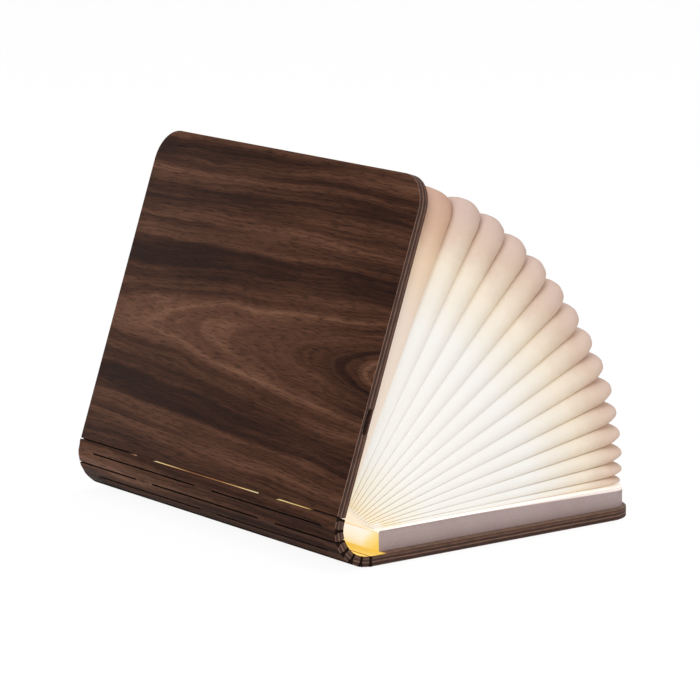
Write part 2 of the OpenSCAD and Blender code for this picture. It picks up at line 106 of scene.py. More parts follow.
room = bpy.data.worlds.new("white_room")
bpy.context.scene.world = room
room.use_nodes = True
nodes = room.node_tree.nodes
links = room.node_tree.links
nodes.clear()
seen = nodes.new("ShaderNodeLightPath")
any_view = nodes.new("ShaderNodeMath")
any_view.operation = "MAXIMUM"
links.new(seen.outputs["Is Camera Ray"], any_view.inputs[0])
links.new(seen.outputs["Is Transmission Ray"], any_view.inputs[1])
glow = nodes.new("ShaderNodeMath")
glow.operation = "MULTIPLY_ADD"
glow.inputs[1].default_value = 0.42
glow.inputs[2].default_value = 0.58
links.new(any_view.outputs[0], glow.inputs[0])
sky = nodes.new("ShaderNodeBackground")
sky.inputs["Color"].default_value = (1, 1, 1, 1)
links.new(glow.outputs[0], sky.inputs["Strength"])
out = nodes.new("ShaderNodeOutputWorld")
links.new(sky.outputs[0], out.inputs["Surface"])

for name, place, size, power in (
    ("lamp_front_left", (-2.0, -1.3, 1.5), 1.4, 26),
    ("lamp_near_end", (0.9, -2.2, 1.0), 1.0, 12),
    ("lamp_above", (0.3, 0.5, 2.4), 1.6, 14),
):
    lamp = bpy.data.lights.new(name, "AREA")
    lamp.shape = "SQUARE"
    lamp.size = size
    lamp.energy = power
    stand = bpy.data.objects.new(name, lamp)
    stand.location = place
    stand.rotation_euler = (Vector((-0.01, 0, 0.08)) - Vector(place)).to_track_quat("-Z", "Y").to_euler()
    bpy.context.scene.collection.objects.link(stand)

# The wooden skin: walnut on five millimetres of plywood, slit across the spine
# so that it bends along seven lines. The two covers, the six stiff strips
# and the slit webs between them are cut from one such board.
mm = 0.001
board = 5.0 * mm
cover_width = 162.2 * mm
half_length = 107.5 * mm
hinge_x = -cover_width / 2
pitch = 5.5 * mm
neck = 0.6 * mm
bevel_slope = math.tan(math.radians(12))
open_angle = math.radians(71)
pleats = 15
# the share of the whole turn made by pleat wall k and by fold line i, and how the open spine bends
before_last, turn_growth = 0.985, 1.42
turn_share = [before_last * (k / pleats) ** turn_growth for k in range(pleats)] + [1.0]
line_share = [0] + [turn_share[k] for k in (2, 5, 8, 10, 12, 14)] + [1.0]
bend_share = [0, 0.066, 0.209, 0.402, 0.56, 0.74, 0.943, 1]
book_body = [
    "lower_cover", "fan_turn_01", "strip_1", "fan_turn_03",
    "fan_turn_04", "strip_2", "fan_turn_06", "fan_turn_07",
    "strip_3", "fan_turn_09", "strip_4", "fan_turn_11",
    "strip_5", "fan_turn_13", "strip_6", "front_cover",
]

shut_line = [(hinge_x, board / 2)]
for i in range(1, 7):
    lean = math.pi - (math.pi - open_angle) * bend_share[i] - open_angle * line_share[i]
    x, z = shut_line[-1]
    shut_line.append((x + pitch * math.cos(lean), z + pitch * math.sin(lean)))


def opened(turned, x, z):
    # where a point of the shut book stands in the open one, if it has made this share of the turn
    for i in range(6, -1, -1):
        if turned > line_share[i]:
            a = open_angle * (min(turned, line_share[i + 1]) - line_share[i])
            px, pz = shut_line[i]
            dx, dz = x - px, z - pz
            x = px + math.cos(a) * dx - math.sin(a) * dz
            z = pz + math.sin(a) * dx + math.cos(a) * dz
    return x, z


open_line = [opened(line_share[i], *shut_line[i]) for i in range(7)]


def line_point(i):
    # fold line i of the open book, in the middle of the board's thickness
    return Vector((open_line[i][0], 0, open_line[i][1]))


def lean_of(i):
    # direction of the board after fold line i: 0 is the lower cover, 7 the front cover
    a = math.pi - (math.pi - open_angle) * bend_share[i]
    return Vector((math.cos(a), 0, math.sin(a))), Vector((-math.sin(a), 0, math.cos(a)))


def write_grain(mesh, i):
    # the board laid flat: x across the grain from the front cover's fold line,
    # y along the grain, z down from the outer face
    along, outward = lean_of(i)
    start = line_point(max(i, 1) - 1)
    grain = mesh.attributes.get("board_flat") or mesh.attributes.new("board_flat", "FLOAT_VECTOR", "POINT")
    for v in mesh.vertices:
        d = v.co - start
        grain.data[v.index].vector = ((i - 7) * pitch + d.dot(along), v.co.y, board / 2 - d.dot(outward))


def add_piece(name, mesh, slot, *hidden_nodes):
    piece = bpy.data.objects.new(name, mesh)
    bpy.context.scene.collection.objects.link(piece)
    if hidden_nodes:
        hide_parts(*hidden_nodes)
    return piece


def eased_copy(node, name, ease, sharp_from=35, keep=None):
    # the sawn piece with its arrises eased by sandpaper
    shape = bmesh.new()
    shape.from_mesh(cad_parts[node].data)
    bmesh.ops.remove_doubles(shape, verts=shape.verts, dist=1e-6)
    bmesh.ops.dissolve_limit(shape, angle_limit=math.radians(0.5), verts=shape.verts, edges=shape.edges)
    sharp = math.radians(sharp_from)
    arris = [e for e in shape.edges if len(e.link_faces) == 2 and e.calc_face_angle(0) > sharp]
    if keep:
        arris = [e for e in arris if keep(e)]
    bmesh.ops.bevel(
        shape, geom=arris, offset=ease, offset_type="OFFSET", segments=2, profile=0.5,
        affect="EDGES", material=-1, clamp_overlap=True,
    )
    mesh = bpy.data.meshes.new(name)
    shape.to_mesh(mesh)
    shape.free()
    mesh.shade_smooth()
    mesh.set_sharp_from_angle(angle=math.radians(30))
    return mesh


def new_finish(name):
    finish = bpy.data.materials.new(name)
    finish.use_nodes = True
    tree = finish.node_tree
    tree.nodes.clear()
    shader = tree.nodes.new("ShaderNodeBsdfPrincipled")
    out = tree.nodes.new("ShaderNodeOutputMaterial")
    tree.links.new(shader.outputs[0], out.inputs["Surface"])
    return finish, tree, shader


def stretched(tree, source, scale, place=(0, 0, 0)):
    turn = tree.nodes.new("ShaderNodeMapping")
    turn.inputs["Scale"].default_value = scale
    turn.inputs["Location"].default_value = place
    tree.links.new(source, turn.inputs["Vector"])
    return turn.outputs[0]


def mottle(tree, source, scale, detail=4.0, rough=0.6, twist=0.0):
    noise = tree.nodes.new("ShaderNodeTexNoise")
    noise.inputs["Scale"].default_value = scale
    noise.inputs["Detail"].default_value = detail
    noise.inputs["Roughness"].default_value = rough
    noise.inputs["Distortion"].default_value = twist
    tree.links.new(source, noise.inputs["Vector"])
    return noise.outputs["Fac"]


def sums(tree, kind, a, b=None, c=None):
    step = tree.nodes.new("ShaderNodeMath")
    step.operation = kind
    for socket, value in zip(step.inputs, (a, b, c)):
        if value is None:
            continue
        if isinstance(value, (int, float)):
            socket.default_value = value
        else:
            tree.links.new(value, socket)
    return step.outputs[0]


def shades(tree, source, stops, kind="LINEAR"):
    ramp = tree.nodes.new("ShaderNodeValToRGB")
    ramp.color_ramp.interpolation = kind
    bar = ramp.color_ramp.elements
    while len(bar) < len(stops):
        bar.new(0.5)
    for spot, (place, colour) in zip(bar, stops):
        spot.position = place
        spot.color = (*colour, 1)
    tree.links.new(source, ramp.inputs[0])
    return ramp.outputs["Color"]


def blended(tree, how, amount, a, b):
    mix = tree.nodes.new("ShaderNodeMix")
    mix.data_type = "RGBA"
    mix.blend_type = how
    for socket, value in ((mix.inputs[0], amount), (mix.inputs[6], a), (mix.inputs[7], b)):
        if isinstance(value, (int, float)):
            socket.default_value = value
        elif isinstance(value, tuple):
            socket.default_value = (*value, 1)
        else:
            tree.links.new(value, socket)
    return mix.outputs[2]


def roughened(tree, shader, height, strength, distance):
    bump = tree.nodes.new("ShaderNodeBump")
    bump.inputs["Strength"].default_value = strength
    bump.inputs["Distance"].default_value = distance
    tree.links.new(height, bump.inputs["Height"])
    tree.links.new(bump.outputs[0], shader.inputs["Normal"])


def attribute(tree, name, output):
    place = tree.nodes.new("ShaderNodeAttribute")
    place.attribute_name = name
    return place.outputs[output]


def split_up(tree, vector):
    parts = tree.nodes.new("ShaderNodeSeparateXYZ")
    tree.links.new(vector, parts.inputs[0])
    return parts.outputs


walnut, tree, shader = new_finish("walnut")
flat = attribute(tree, "board_flat", "Vector")
across, along_grain, _ = split_up(tree, flat)
# the yearly rings wander across the board, and long tongues of them open towards the near end
push = mottle(tree, stretched(tree, flat, (13, 5.5, 0), (1.3, 0.4, 0)), 1.0, 2.0, 0.5)
small_push = mottle(tree, stretched(tree, flat, (80, 26, 0), (4.0, 2.0, 0)), 1.0, 3.0, 0.55)
from_axis = sums(tree, "ADD", sums(tree, "MULTIPLY_ADD", push, 0.016, across), -0.075)
opening = sums(tree, "MULTIPLY_ADD", along_grain, 0.0028, 0.00030)
ring_square = sums(tree, "MULTIPLY_ADD", from_axis, from_axis, opening)
ring_place = sums(tree, "SQRT", sums(tree, "MAXIMUM", ring_square, 0.000001))
ring_place = sums(tree, "MULTIPLY_ADD", small_push, 0.0040, ring_place)
laid = tree.nodes.new("ShaderNodeCombineXYZ")
tree.links.new(ring_place, laid.inputs[0])
tree.links.new(along_grain, laid.inputs[1])
rings = mottle(tree, stretched(tree, laid.outputs[0], (230, 2.6, 0)), 1.0, 4.0, 0.6)
wide = mottle(tree, stretched(tree, laid.outputs[0], (62, 1.5, 0), (7, 3, 0)), 1.0, 2.0, 0.5)
cloudy = mottle(tree, stretched(tree, flat, (22, 9, 0), (2, 8, 0)), 1.0, 3.0, 0.55)
pores = mottle(tree, stretched(tree, flat, (1500, 110, 0)), 1.0, 3.0, 0.65)
fibre = mottle(tree, stretched(tree, laid.outputs[0], (900, 22, 0)), 1.0, 4.0, 0.7)
tone = sums(tree, "MULTIPLY_ADD", rings, 0.50, sums(tree, "MULTIPLY", wide, 0.52))
tone = sums(tree, "MULTIPLY_ADD", fibre, 0.22, tone)
tone = sums(tree, "MULTIPLY_ADD", cloudy, 0.22, tone)
wood = shades(tree, tone, (
    (0.57, (0.0120, 0.0030, 0.0012)),
    (0.66, (0.0300, 0.0096, 0.0044)),
    (0.74, (0.0640, 0.0240, 0.0120)),
    (0.82, (0.1120, 0.0475, 0.0260)),
    (0.92, (0.2050, 0.0980, 0.0570)),
))
pore_shade = shades(tree, pores, ((0.36, (0.26, 0.24, 0.22)), (0.50, (1.08, 1.06, 1.05))))
wood = blended(tree, "MULTIPLY", 0.7, wood, pore_shade)
# the spine strips are a little paler and greyer than the front cover
towards_spine = sums(tree, "MULTIPLY_ADD", across, 20, 0.5)
wood = blended(tree, "MULTIPLY", 1.0, wood, shades(tree, towards_spine, (
    (0.20, (1.20, 1.30, 1.38)),
    (0.49, (1.25, 1.30, 1.32)),
    (0.51, (1.0, 1.0, 1.0)),
)))
tree.links.new(wood, shader.inputs["Base Color"])
shader.inputs["Roughness"].default_value = 0.55
shader.inputs["Specular IOR Level"].default_value = 0.10
roughened(tree, shader, sums(tree, "MULTIPLY_ADD", fibre, 0.6, pores), 0.35, 0.0002)

plies, tree, shader = new_finish("ply_edge")
flat = attribute(tree, "board_flat", "Vector")
wander = mottle(tree, stretched(tree, flat, (60, 60, 0)), 1.0, 2.0, 0.5)
wander = sums(tree, "MULTIPLY_ADD", wander, 0.08, -0.04)
depth = sums(tree, "MULTIPLY_ADD", split_up(tree, flat)[2], 200, wander)
# the palest band at the outer face is a painted highlight along the eased arris, and the darker and paler
# bands below it are the plies
layers = shades(tree, depth, (
    (0.00, (0.26, 0.145, 0.105)),
    (0.07, (0.16, 0.080, 0.056)),
    (0.13, (0.030, 0.012, 0.008)),
    (0.36, (0.052, 0.022, 0.014)),
    (0.41, (0.22, 0.115, 0.075)),
    (0.47, (0.17, 0.085, 0.055)),
    (0.53, (0.032, 0.013, 0.009)),
    (0.70, (0.055, 0.024, 0.016)),
    (0.75, (0.15, 0.072, 0.045)),
    (0.86, (0.10, 0.045, 0.028)),
    (1.00, (0.055, 0.024, 0.015)),
))
char = mottle(tree, stretched(tree, flat, (220, 700, 500)), 1.0, 4.0, 0.65)
char_shade = shades(tree, char, ((0.32, (0.5, 0.45, 0.42)), (0.62, (1.15, 1.12, 1.1))))
tree.links.new(blended(tree, "MULTIPLY", 0.6, layers, char_shade), shader.inputs["Base Color"])
shader.inputs["Roughness"].default_value = 0.62
shader.inputs["Specular IOR Level"].default_value = 0.3
roughened(tree, shader, char, 0.4, 0.0002)

inner_face, tree, shader = new_finish("inner_wood")
flat = attribute(tree, "board_flat", "Vector")
streak = mottle(tree, stretched(tree, flat, (500, 12, 0)), 1.0, 5.0, 0.65)
streak_shade = shades(tree, streak, ((0.3, (0.10, 0.052, 0.034)), (0.7, (0.22, 0.125, 0.08))))
tree.links.new(streak_shade, shader.inputs["Base Color"])
shader.inputs["Roughness"].default_value = 0.6
roughened(tree, shader, streak, 0.3, 0.0002)
# between the spine and the box the lamp light falls on it
near_spine = sums(tree, "MULTIPLY_ADD", split_up(tree, flat)[0], 10, 0.6)
lit = shades(tree, near_spine, (
    (0.120, (0.0, 0.0, 0.0)),
    (0.135, (0.90, 0.55, 0.04)),
    (0.215, (0.92, 0.60, 0.06)),
    (0.600, (0.92, 0.66, 0.20)),
    (0.685, (0.80, 0.50, 0.14)),
    (0.720, (0.0, 0.0, 0.0)),
))
tree.links.new(lit, shader.inputs["Emission Color"])
shader.inputs["Emission Strength"].default_value = 0.8


def paint_board(mesh, i, outer, edge, inner):
    # walnut outside, cut plies on the edges, and the finish of the inside
    outward = lean_of(i)[1]
    for finish in (outer, edge, inner):
        mesh.materials.append(finish)
    for face in mesh.polygons:
        facing = face.normal.dot(outward)
        face.material_index = 0 if facing > 0.55 else 2 if facing < -0.55 else 1


for node, name, i, body, slot in (
    ("back_cover_veneer", "lower_cover_skin", 0, "lower_cover", "walnut_veneer"),
    ("back_cover_core", "lower_cover_board", 0, "lower_cover", "plywood"),
    ("front_cover_veneer", "front_cover_skin", 7, "front_cover", "walnut_veneer"),
    ("front_cover_core", "front_cover_board", 7, "front_cover", "plywood"),
):
    outward = lean_of(i)[1]
    line = line_point(6 if i == 7 else 0)
    outer_side = node.endswith("veneer")

    def on_face(e):
        # only the arrises round the large outer or inner face are eased
        depth = [board / 2 - (v.co - line).dot(outward) for v in e.verts]
        level = 0.0 if outer_side else board
        return all(abs(d - level) < 0.02 * mm for d in depth)

    mesh = eased_copy(node, name, 0.4 * mm if outer_side else 0.25 * mm, 35, on_face)
    write_grain(mesh, i)
    paint_board(mesh, i, walnut if outer_side else plies, plies, plies if outer_side else inner_face)
    piece = add_piece(name, mesh, slot, node)
    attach(piece, body)

# The six stiff strips of the spine, with the walnut outside and the light of the lamp on their inner faces.
# Their long sides slope a little, so that the spine can close round the shut book and open past flat.
lit_inside, tree, shader = new_finish("lit_spine")
flat = attribute(tree, "board_flat", "Vector")
streak = mottle(tree, stretched(tree, flat, (500, 12, 0)), 1.0, 4.0, 0.6)
streak_shade = shades(tree, streak, ((0.3, (0.42, 0.24, 0.08)), (0.7, (0.62, 0.40, 0.16))))
tree.links.new(streak_shade, shader.inputs["Base Color"])
spine_width = 0.0355
down_spine = sums(tree, "MULTIPLY_ADD", split_up(tree, flat)[0], -1 / spine_width, 0.0)
lit = shades(tree, down_spine, (
    (0.0, (0.95, 0.62, 0.30)),
    (0.35, (1.0, 0.78, 0.36)),
    (0.65, (1.0, 0.70, 0.10)),
    (1.0, (0.95, 0.56, 0.05)),
))
tree.links.new(lit, shader.inputs["Emission Color"])
shader.inputs["Emission Strength"].default_value = 0.62
shader.inputs["Roughness"].default_value = 0.7

for i in range(1, 7):
    name = "spine_strip_%d" % i
    mesh = eased_copy("spine_slat_%d" % i, name, 0.22 * mm, 50)
    write_grain(mesh, i)
    paint_board(mesh, i, walnut, plies, lit_inside)
    piece = add_piece(name, mesh, "plywood", "spine_slat_%d" % i)
    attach(piece, "strip_%d" % i)

# The slit webs: thin ribs of the same board between two strips, joined to the next strip
# only at short bridges. Long staggered cuts free them, so each web bends like a spring;
# lamp light leaks through the row of cuts at the front cover.
slit = 0.75 * mm
leak, tree, shader = new_finish("leaking_light")
flat = attribute(tree, "board_flat", "Vector")
# seen from outside it is brightest beside the bridges and fades out towards both ends of the spine
spot = mottle(tree, stretched(tree, flat, (0, 55, 0)), 1.0, 2.0, 0.5)
down_row = sums(tree, "MULTIPLY_ADD", split_up(tree, flat)[1], 1 / (2 * half_length), 0.5)
leaked = shades(tree, down_row, (
    (0.095, (0.0, 0.0, 0.0)),
    (0.115, (0.75, 0.48, 0.16)),
    (0.215, (1.0, 0.80, 0.36)),
    (0.285, (1.0, 0.86, 0.50)),
    (0.350, (0.95, 0.66, 0.30)),
    (0.440, (0.36, 0.16, 0.07)),
    (0.560, (0.30, 0.13, 0.06)),
    (0.640, (0.85, 0.55, 0.24)),
    (0.695, (1.0, 0.82, 0.42)),
    (0.770, (0.60, 0.34, 0.18)),
    (0.800, (0.0, 0.0, 0.0)),
))
spot_shade = shades(tree, spot, ((0.35, (0.5, 0.42, 0.35)), (0.6, (1.0, 1.0, 1.0))))
tree.links.new(blended(tree, "MULTIPLY", 0.35, leaked, spot_shade), shader.inputs["Emission Color"])
shader.inputs["Emission Strength"].default_value = 1.0
shader.inputs["Roughness"].default_value = 0.8
scorched = shades(tree, spot, ((0.3, (0.03, 0.015, 0.01)), (0.7, (0.06, 0.03, 0.02))))
tree.links.new(scorched, shader.inputs["Base Color"])

# the walls of the cuts are browned by the saw, and painted near black besides as the shade deep in the narrow
# slits
charred_and_shaded, tree, shader = new_finish("charred_and_shaded_cut")
flat = attribute(tree, "board_flat", "Vector")
soot = mottle(tree, stretched(tree, flat, (800, 200, 800)), 1.0, 3.0, 0.6)
soot_and_slit_shade = shades(tree, soot, ((0.3, (0.006, 0.003, 0.002)), (0.7, (0.020, 0.010, 0.007))))
tree.links.new(soot_and_slit_shade, shader.inputs["Base Color"])
shader.inputs["Roughness"].default_value = 0.9
shader.inputs["Specular IOR Level"].default_value = 0.05

# where along the spine the bridges stand: on even fold lines two, on odd ones three
bridges = {0: (-52.7 * mm, 49.8 * mm), 1: (-104 * mm, -1.5 * mm, 101 * mm)}
bridge_half = 7 * mm


def board_side(i, which, way):
    # the sloped side of a board at fold line i: outer arris, middle and inner arris
    along, outward = lean_of(which)
    side = []
    for face in (1, 0, -1):
        out_by = neck + (board / 2 * bevel_slope if face else 0)
        side.append(line_point(i) + way * out_by * along + face * board / 2 * outward)
    return side


def turns_at(i):
    # the joints k that share the bend at fold line i, each with its part of that bend, from and to
    before, after = line_share[i], line_share[i + 1]
    made = [(share - before) / (after - before) for share in turn_share]
    return [(k, made[k - 1], made[k]) for k in range(1, 16) if 0 < made[k] <= 1 + 1e-9]


def take_shares(mesh):
    # the turn of each point goes by its own share instead of by its place along the blend
    held = [v.value for v in mesh.attributes["turn_share"].data]
    mesh.attributes["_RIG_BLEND"].data.foreach_set("value", held)
    mesh.attributes.remove(mesh.attributes["turn_share"])


for i in range(7):
    first = board_side(i, i, -1)
    last = board_side(i, i + 1, 1)
    along, outward = lean_of(i + 1)
    edges = [-half_length]
    for b in bridges[i % 2]:
        edges.append(max(b - bridge_half, -half_length + 0.01 * mm))
        edges.append(min(b + bridge_half, half_length - 0.01 * mm))
    edges.append(half_length)
    last_turn = turns_at(i)[-1][0]
    for k, f0, f1 in turns_at(i):
        side0 = [a.lerp(b, f0) for a, b in zip(first, last)]
        side1 = [a.lerp(b, f1) for a, b in zip(first, last)]
        shape = bmesh.new()
        share_layer = shape.verts.layers.float.new("turn_share")
        for n in range(len(edges) - 1):
            # the parts between the bridges stop short of the next board, and so leave a cut
            cut = n % 2 == 0 and k == last_turn
            far = [p.copy() for p in side1]
            if cut:
                far[0] -= slit * along
                far[2] -= slit * along
            loop = []
            for at, side in ((0.0, side0), (1.0, far[::-1])):
                for p in side:
                    v = shape.verts.new((p.x, edges[n], p.z))
                    v[share_layer] = at
                    loop.append(v)
            face = shape.faces.new(loop)
            grown = bmesh.ops.extrude_face_region(shape, geom=[face])
            fresh = [g for g in grown["geom"] if isinstance(g, bmesh.types.BMVert)]
            bmesh.ops.translate(shape, vec=(0, edges[n + 1] - edges[n], 0), verts=fresh)
            for g in set(f for v in fresh for f in v.link_faces):
                if cut and all(v[share_layer] == 1.0 for v in g.verts) and len(g.verts) == 4:
                    g.material_index = 3 if i == 6 else 4
        bmesh.ops.recalc_face_normals(shape, faces=shape.faces)
        mesh = bpy.data.meshes.new("slit_web_%02d" % k)
        shape.to_mesh(mesh)
        shape.free()
        write_grain(mesh, max(i, 1))
        for finish in (walnut, plies, lit_inside, leak, charred_and_shaded):
            mesh.materials.append(finish)
        for face in mesh.polygons:
            facing = face.normal.dot((lean_of(i)[1] + outward).normalized())
            if face.material_index < 3:
                face.material_index = 0 if facing > 0.8 else 2 if facing < -0.8 else 4
        piece = add_piece("slit_web_%02d" % k, mesh, "plywood", "hinge_web_%d" % (i + 1))
        p = open_line[i]
        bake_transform(piece, book_body[k - 1], book_body[k], (p[0], 0, p[1]), (p[0], 0, p[1] + 0.001))
        take_shares(mesh)

# The box on the lower cover: a tray of covered grey board that holds the battery, the boards
# and the rows of light chips. Its side towards the spine catches the lamp light,
# and its milky lid lets the light up into the fan.
box_height = 9.8 * mm


def object_place(tree):
    return tree.nodes.new("ShaderNodeTexCoord").outputs["Object"]


grey_board, tree, shader = new_finish("grey_board")
place = object_place(tree)
x, _, z = split_up(tree, place)
skin = mottle(tree, place, 900, 3.0, 0.6)
patch = mottle(tree, place, 40, 2.0, 0.5)
cover_paper = sums(tree, "MULTIPLY_ADD", patch, 0.5, sums(tree, "MULTIPLY", skin, 0.5))
paper_tone = shades(tree, cover_paper, ((0.3, (0.34, 0.255, 0.245)), (0.7, (0.42, 0.325, 0.315))))
tree.links.new(paper_tone, shader.inputs["Base Color"])
# the rim below the paper is washed out by the light, more so towards the fore edge
to_fore = sums(tree, "MAXIMUM", sums(tree, "ADD", x, 0.035), 0.0)
low_rim = sums(tree, "MULTIPLY_ADD", to_fore, 0.019, z)
above_rim = sums(tree, "MULTIPLY_ADD", low_rim, 1000, -14.6)
spill = shades(tree, above_rim, (
    (0.30, (0.0, 0.0, 0.0)),
    (0.62, (0.50, 0.44, 0.38)),
    (0.90, (0.62, 0.60, 0.56)),
))
tree.links.new(spill, shader.inputs["Emission Color"])
shader.inputs["Emission Strength"].default_value = 0.9
shader.inputs["Roughness"].default_value = 0.6
roughened(tree, shader, skin, 0.15, 0.0001)

lit_board, tree, shader = new_finish("lit_board")
place = object_place(tree)
_, y, z = split_up(tree, place)
rise = sums(tree, "MULTIPLY_ADD", z, 1 / box_height, -board / box_height)
rise = sums(tree, "MULTIPLY_ADD", mottle(tree, place, 600, 3.0, 0.5), 0.12, rise)
# white hot far in, and yellow close to the two ends and the foot
yellow_end, wall_end = 0.014, 0.1040
far_in = sums(tree, "MULTIPLY_ADD", sums(tree, "ABSOLUTE", y), -1 / yellow_end, wall_end / yellow_end)
heat = sums(tree, "MULTIPLY", rise, 0.50)
heat = sums(tree, "MULTIPLY_ADD", sums(tree, "MINIMUM", far_in, 1.0), 0.60, heat)
tree.links.new(shades(tree, heat, (
    (0.0, (0.85, 0.52, 0.03)),
    (0.30, (0.86, 0.60, 0.09)),
    (0.60, (0.92, 0.74, 0.32)),
    (0.80, (0.98, 0.92, 0.78)),
    (1.0, (1.0, 0.97, 0.92)),
)), shader.inputs["Emission Color"])
shader.inputs["Emission Strength"].default_value = 0.72
warmed = shades(tree, heat, ((0.0, (0.30, 0.20, 0.04)), (1.0, (0.35, 0.33, 0.30))))
tree.links.new(warmed, shader.inputs["Base Color"])
shader.inputs["Roughness"].default_value = 0.7

mesh = eased_copy("box_tray", "light_box", 0.3 * mm, 60)
mesh.materials.append(grey_board)
mesh.materials.append(lit_board)
for face in mesh.polygons:
    if face.normal.x < -0.7 and face.center.x < -0.0725:
        face.material_index = 1
box = add_piece("light_box", mesh, "box_board", "box_tray")
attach(box, "lower_cover")

milky, tree, shader = new_finish("milky_lid")
cloud = mottle(tree, object_place(tree), 120, 3.0, 0.6)
let_through = shades(tree, cloud, ((0.3, (0.95, 0.90, 0.80)), (0.7, (1.0, 0.97, 0.92))))
tree.links.new(let_through, shader.inputs["Emission Color"])
shader.inputs["Emission Strength"].default_value = 0.3
milk = shades(tree, cloud, ((0.3, (0.86, 0.82, 0.76)), (0.7, (0.93, 0.90, 0.86))))
tree.links.new(milk, shader.inputs["Base Color"])
shader.inputs["Roughness"].default_value = 0.45
mesh = eased_copy("box_lid", "milky_lid", 0.2 * mm, 60)
mesh.materials.append(milky)
mesh.materials.append(grey_board)
for face in mesh.polygons:
    if abs(face.normal.z) < 0.9 and face.center.x > -0.072:
        face.material_index = 1
lid = add_piece("milky_lid", mesh, "lid_diffuser", "box_lid")
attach(lid, "lower_cover")

# The paper fan: fifteen round folds of strong white paper between sixteen creases
# that spread from the spine. Each fold is a long pouch, rounded at the two ends
# and the fore edge; the lamp shines through it from the root.
fan_low = board + box_height + 0.1 * mm
fan_high = shut_line[6][1] - board / 2 - 0.6 * mm
fan_margin = 9 * mm
wall_half = half_length - fan_margin
tip_radius = 9 * mm
tip_x = -hinge_x - fan_margin
box_side = 73 * mm


def crease_point(k, reach, extra):
    # a point of crease k in the open book; reach runs from the root to where the rounded corner starts
    root = hinge_x + (8 - 0.7 * k / pleats) * mm
    x = root + reach * (tip_x - tip_radius - root) + extra
    tip_z = fan_low + (fan_high - fan_low) * k / pleats
    root_z = tip_z - (3.9 * mm * (k / (pleats - 1)) ** 2 if k < pleats else 0)
    z = root_z + (x - root) / (tip_x - root) * (tip_z - root_z)
    x, z = opened(turn_share[k], x, z)
    return Vector((x, 0, z))


# one way round a pouch: reach, extra, y, outward along the page, outward along the spine,
# and the share of the corner turned
side_steps = [0, 0.02, 0.05, 0.09, 0.14, 0.2, 0.27, 0.35, 0.44, 0.54, 0.64, 0.74, 0.83, 0.92, 1.0]
half_way = [(r, 0.0, wall_half, 0.0, 1.0, 0.0) for r in side_steps]
for a in (10, 20, 30, 40, 50, 60, 70, 80, 90):
    s, c = math.sin(math.radians(a)), math.cos(math.radians(a))
    half_way.append((1.0, tip_radius * s, wall_half - tip_radius + tip_radius * c, s, c, a / 90))
half_way += [(1.0, tip_radius, y * mm, 1.0, 0.0, 1.0) for y in (70, 50, 30, 10)]
way_round = [(r, e, -y, a, -b, turn) for r, e, y, a, b, turn in half_way] + half_way[::-1]
# and back to the start along the root
way_round += [(0.0, 0.0, y * mm, -1.0, 0.0, 0.0) for y in (88, 60, 30, 0, -30, -60, -88)]
fold_turns = 20

paper, tree, shader = new_finish("lit_paper")
reach, rise, number = split_up(tree, attribute(tree, "pleat", "Vector"))
place = object_place(tree)
fibres = mottle(tree, place, 330, 4.0, 0.62, 0.4)
patches = mottle(tree, place, 60, 3.0, 0.5)
# the upper folds are wide and let less light through than the narrow ones close to the lamp
far_out = sums(tree, "MULTIPLY_ADD", patches, 0.10, sums(tree, "ADD", reach, -0.075))
far_out = sums(tree, "MULTIPLY_ADD", fibres, 0.05, far_out)
far_out = sums(tree, "ADD", far_out, sums(tree, "MULTIPLY_ADD", number, 0.05, -0.03))
# the paper is white, so its base colour going from yellowish at the root through grey to pinkish beige at the
# tips is painted light; the glow below fades out towards the tips
base_with_painted_light = shades(tree, far_out, (
    (0.00, (0.44, 0.40, 0.33)),
    (0.10, (0.42, 0.41, 0.38)),
    (0.60, (0.43, 0.42, 0.40)),
    (0.79, (0.55, 0.50, 0.44)),
    (0.90, (0.60, 0.48, 0.40)),
    (1.00, (0.61, 0.455, 0.395)),
))
shine = shades(tree, far_out, (
    (0.00, (0.60, 0.57, 0.52)),
    (0.02, (0.55, 0.45, 0.28)),
    (0.08, (0.52, 0.47, 0.38)),
    (0.20, (0.50, 0.49, 0.465)),
    (0.60, (0.47, 0.455, 0.43)),
    (0.79, (0.32, 0.265, 0.185)),
    (0.91, (0.090, 0.050, 0.024)),
    (1.00, (0.01, 0.004, 0.002)),
))
# painted shade: a thin grey line along each crease, fainter in the middle where the paper is brightest
line_width = sums(tree, "MULTIPLY_ADD", reach, 0.75, 0.42)
close = sums(tree, "DIVIDE", attribute(tree, "from_crease", "Fac"), line_width)
middle = sums(tree, "PINGPONG", sums(tree, "SUBTRACT", reach, 0.02), 0.4)
depth = shades(tree, middle, (
    (0.05, (0.34, 0.27, 0.17)),
    (0.20, (0.62, 0.59, 0.54)),
    (0.40, (0.80, 0.79, 0.76)),
))
depth = blended(tree, "MIX", sums(tree, "GREATER_THAN", reach, 0.62), depth, (0.62, 0.55, 0.46))
beside = shades(tree, close, ((0.15, (0, 0, 0)), (1.0, (1, 1, 1))), "EASE")
line = blended(tree, "MIX", beside, depth, (1.0, 1.0, 1.0))
# the lower flank of each fold is turned from the lamp, more so towards the tip
flank = shades(tree, rise, ((0.0, (0.84, 0.80, 0.76)), (0.30, (0.93, 0.91, 0.88)), (0.62, (1.0, 1.0, 1.0))))
flank_share = shades(tree, reach, ((0.25, (0, 0, 0)), (0.75, (1, 1, 1))))
# the last fold lies in the shade of the front cover
last = blended(tree, "MIX", sums(tree, "GREATER_THAN", number, 0.97), (1.0, 1.0, 1.0), (0.96, 0.83, 0.74))
for colour, socket in ((base_with_painted_light, "Base Color"), (shine, "Emission Color")):
    colour = blended(tree, "MULTIPLY", 1.0, colour, line)
    colour = blended(tree, "MULTIPLY", flank_share, colour, flank)
    colour = blended(tree, "MULTIPLY", 1.0, colour, last)
    tree.links.new(colour, shader.inputs[socket])
shader.inputs["Emission Strength"].default_value = 1.0
shader.inputs["Roughness"].default_value = 0.75
shader.inputs["Specular IOR Level"].default_value = 0.2
roughened(tree, shader, fibres, 0.2, 0.0002)

around = len(way_round)
